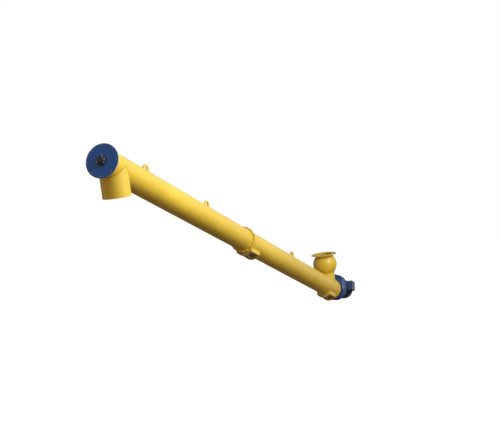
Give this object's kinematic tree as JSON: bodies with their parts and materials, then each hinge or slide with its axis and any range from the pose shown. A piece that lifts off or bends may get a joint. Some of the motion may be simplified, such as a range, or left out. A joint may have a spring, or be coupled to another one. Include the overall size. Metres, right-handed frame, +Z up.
{
  "type": "tubular screw conveyor",
  "caption": "Inclined tubular screw conveyor with a flanged ball inlet, an open outlet spout, inspection hatches, lifting lugs and a geared motor at its lower end.",
  "frame": {"origin": "on the top face of the inlet flange, on its bolt circle, at the side towards the outlet", "axes": "+Z up, +X level and away from the outlet, along the plan of the tube, which runs down towards +X at 22 degrees; +Y completes the right-handed set"},
  "size_m": [7.4259, 0.395, 3.1273],
  "materials": {
    "body_paint": "gloss yellow enamel on rolled steel, a little dusty",
    "plate_paint": "semi-gloss blue enamel on plate",
    "drive_paint": "semi-gloss dark blue enamel on castings",
    "bearing_cast": "dark blue painted casting",
    "clamp_steel": "zinc-plated steel, dull",
    "screw_steel": "bare steel polished by the material it moves"
  },
  "bodies": {
    "root": {"upper_tube": "body_paint", "lower_tube": "body_paint", "outlet_flange": "body_paint", "joint_flange_upper": "body_paint", "joint_flange_lower": "body_paint", "drive_end_flange": "body_paint", "outlet_spout": "body_paint", "inlet_stub": "body_paint", "inlet_ball": "body_paint", "inlet_neck": "body_paint", "inlet_flange": "body_paint", "lifting_lug_1": "body_paint", "lifting_lug_2": "body_paint", "lifting_lug_3": "body_paint", "mid_hatch_frame": "body_paint", "mid_hatch_cover": "body_paint", "end_hatch_frame": "body_paint", "end_hatch_cover": "body_paint", "outlet_end_plate": "plate_paint", "outlet_bearing_housing": "bearing_cast", "outlet_bearing_cap": "bearing_cast", "mid_hatch_clamp_bar": "clamp_steel", "mid_hatch_clamp_knob": "clamp_steel", "end_hatch_clamp_bar": "clamp_steel", "end_hatch_clamp_knob": "clamp_steel", "drive_flange": "drive_paint", "gear_case": "drive_paint", "motor_body": "drive_paint", "motor_fan_cowl": "drive_paint", "motor_terminal_box": "drive_paint", "screw_shaft": "screw_steel", "screw_flight": "screw_steel"}
  },
  "joints": []
}
